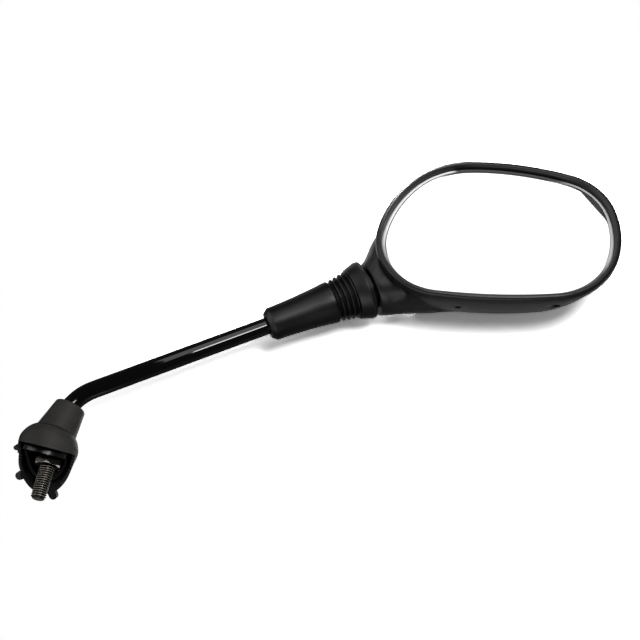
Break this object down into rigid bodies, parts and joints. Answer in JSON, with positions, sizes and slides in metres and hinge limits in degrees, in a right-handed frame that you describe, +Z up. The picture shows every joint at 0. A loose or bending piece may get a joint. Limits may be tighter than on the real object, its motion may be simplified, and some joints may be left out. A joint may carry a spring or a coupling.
{
  "type": "motorcycle mirror",
  "caption": "Handlebar mirror: bent threaded stem with a rubber base boot, a boot-covered ball joint and a rounded housing with convex glass.",
  "frame": {"origin": "on the stud's axis, at the lock nut's lower face", "axes": "+Z up along the stud, +X to the side that the stem leans to, -Y the way the glass faces"},
  "size_m": [0.3207, 0.0452, 0.2452],
  "materials": {
    "black_paint": "gloss black paint, bare steel thread",
    "zinc": "bright zinc plate",
    "bare_steel": "plain steel",
    "rubber": "matt moulded rubber",
    "black_plastic": "fine-grained black plastic",
    "seat_plastic": "natural acetal",
    "foam": "black foam tape",
    "mirror": "silvered glass"
  },
  "bodies": {
    "stem": {"stem_rod": "black_paint", "pivot_ball": "bare_steel", "lock_nut": "zinc", "base_boot": "rubber", "upper_boot": "rubber"},
    "rear_seat": {"rear_ball_seat": "seat_plastic"},
    "front_seat": {"front_ball_seat": "seat_plastic"},
    "head": {"housing_shell": "black_plastic", "pressure_cup": "seat_plastic", "pressure_spring": "bare_steel", "clamp_plate": "zinc", "clamp_screw_upper": "zinc", "clamp_screw_lower": "zinc", "glass_tape": "foam", "mirror_glass": "mirror"}
  },
  "joints": [
    {"name": "head_swivel", "type": "hinge", "parent": "stem", "child": "rear_seat", "pos_m": [0.16537, 0, 0.14393], "axis": [0.848, 0, 0.5299], "range_deg": [-30, 30], "deforming": ["upper_boot"]},
    {"name": "head_pitch", "type": "hinge", "parent": "rear_seat", "child": "front_seat", "pos_m": [0.16537, 0, 0.14393], "axis": [-0.5299, 0, 0.848], "range_deg": [-12, 12], "deforming": ["upper_boot"]},
    {"name": "head_yaw", "type": "hinge", "parent": "front_seat", "child": "head", "pos_m": [0.16537, 0, 0.14393], "axis": [0, 1, 0], "range_deg": [-12, 12], "deforming": ["upper_boot"]}
  ]
}
